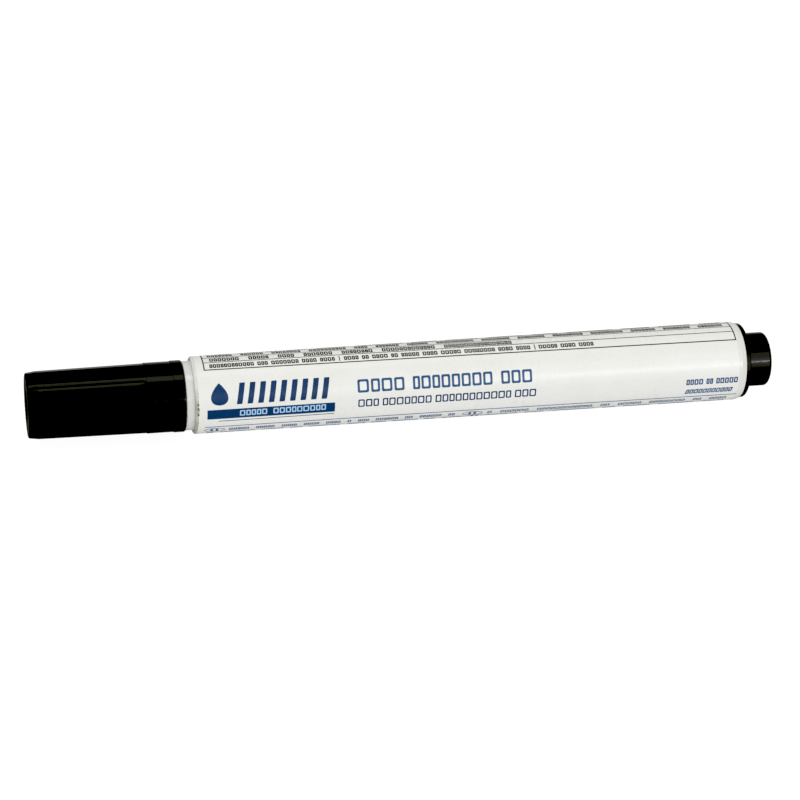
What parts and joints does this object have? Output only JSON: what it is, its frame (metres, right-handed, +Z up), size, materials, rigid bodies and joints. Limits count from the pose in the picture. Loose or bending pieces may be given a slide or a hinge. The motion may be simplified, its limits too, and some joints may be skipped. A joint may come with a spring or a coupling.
{
  "type": "felt-tip cleaning pen",
  "caption": "Felt-tip cleaning pen with a ribbed pull-off cap over a fibre nib, a tapered barrel with a wrap label and a fibre reservoir, and a rear plug whose stub takes the cap.",
  "frame": {"origin": "midway along the pen, on the surface it lies on, straight under its axis", "axes": "+X along the axis towards the rear plug, the cap at -X, +Z up, -Y towards the front of the label"},
  "size_m": [0.1464, 0.0155, 0.0155],
  "materials": {
    "black_plastic": "glossy",
    "white_plastic": "glossy",
    "label_film": "glossy, printed",
    "nose_plastic": "satin, slightly bluish",
    "liner_plastic": "natural, waxy",
    "felt": "pressed fibre",
    "fibre": "bonded fibre",
    "wrap_film": "thin film"
  },
  "bodies": {
    "pen": {"barrel": "white_plastic", "wrap_label": "label_film", "rear_plug": "black_plastic", "nose_section": "nose_plastic", "nib": "felt", "reservoir_core": "fibre", "reservoir_film": "wrap_film"},
    "cap": {"cap_shell": "black_plastic", "inner_cap": "liner_plastic"}
  },
  "joints": [
    {"name": "cap_pull", "type": "slide", "parent": "pen", "child": "cap", "axis": [-1, 0, 0], "range_m": [0, 0.04]}
  ]
}
